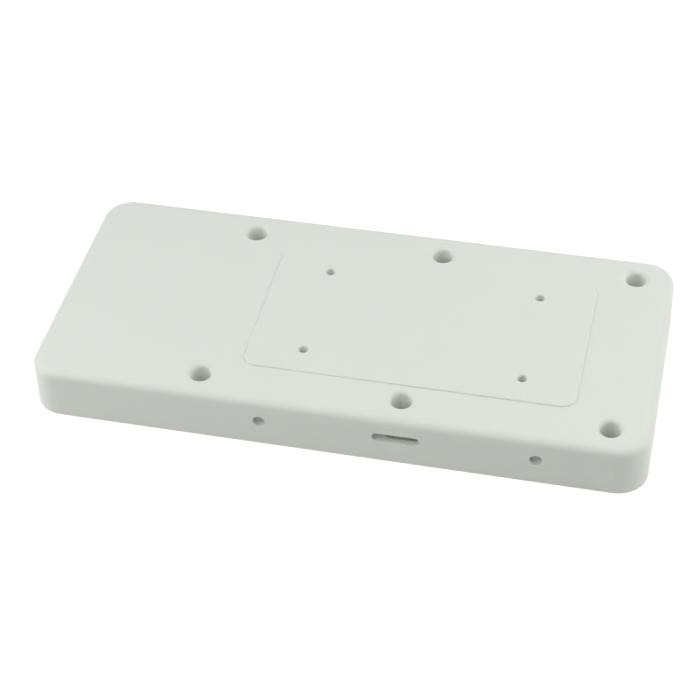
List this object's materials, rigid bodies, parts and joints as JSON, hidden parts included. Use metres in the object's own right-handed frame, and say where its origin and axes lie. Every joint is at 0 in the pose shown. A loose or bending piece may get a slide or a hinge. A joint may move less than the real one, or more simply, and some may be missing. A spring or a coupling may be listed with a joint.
{
  "type": "injection moulded plastic housing",
  "caption": "Shallow moulded back shell for an electronics case: recessed screw posts, a raised fixing pad with small holes, and round holes and a window through one long wall.",
  "frame": {"origin": "middle of the bounding box at its base, which is the plane of the open rim", "axes": "+X along the length, towards the end with the screw posts near it; +Z from the open rim to the closed back; the long wall with the window faces -Y"},
  "size_m": [0.17, 0.078, 0.0155],
  "materials": {
    "housing_plastic": "off-white moulded plastic with a fine satin grain"
  },
  "bodies": {
    "root": {"housing": "housing_plastic"}
  },
  "joints": []
}
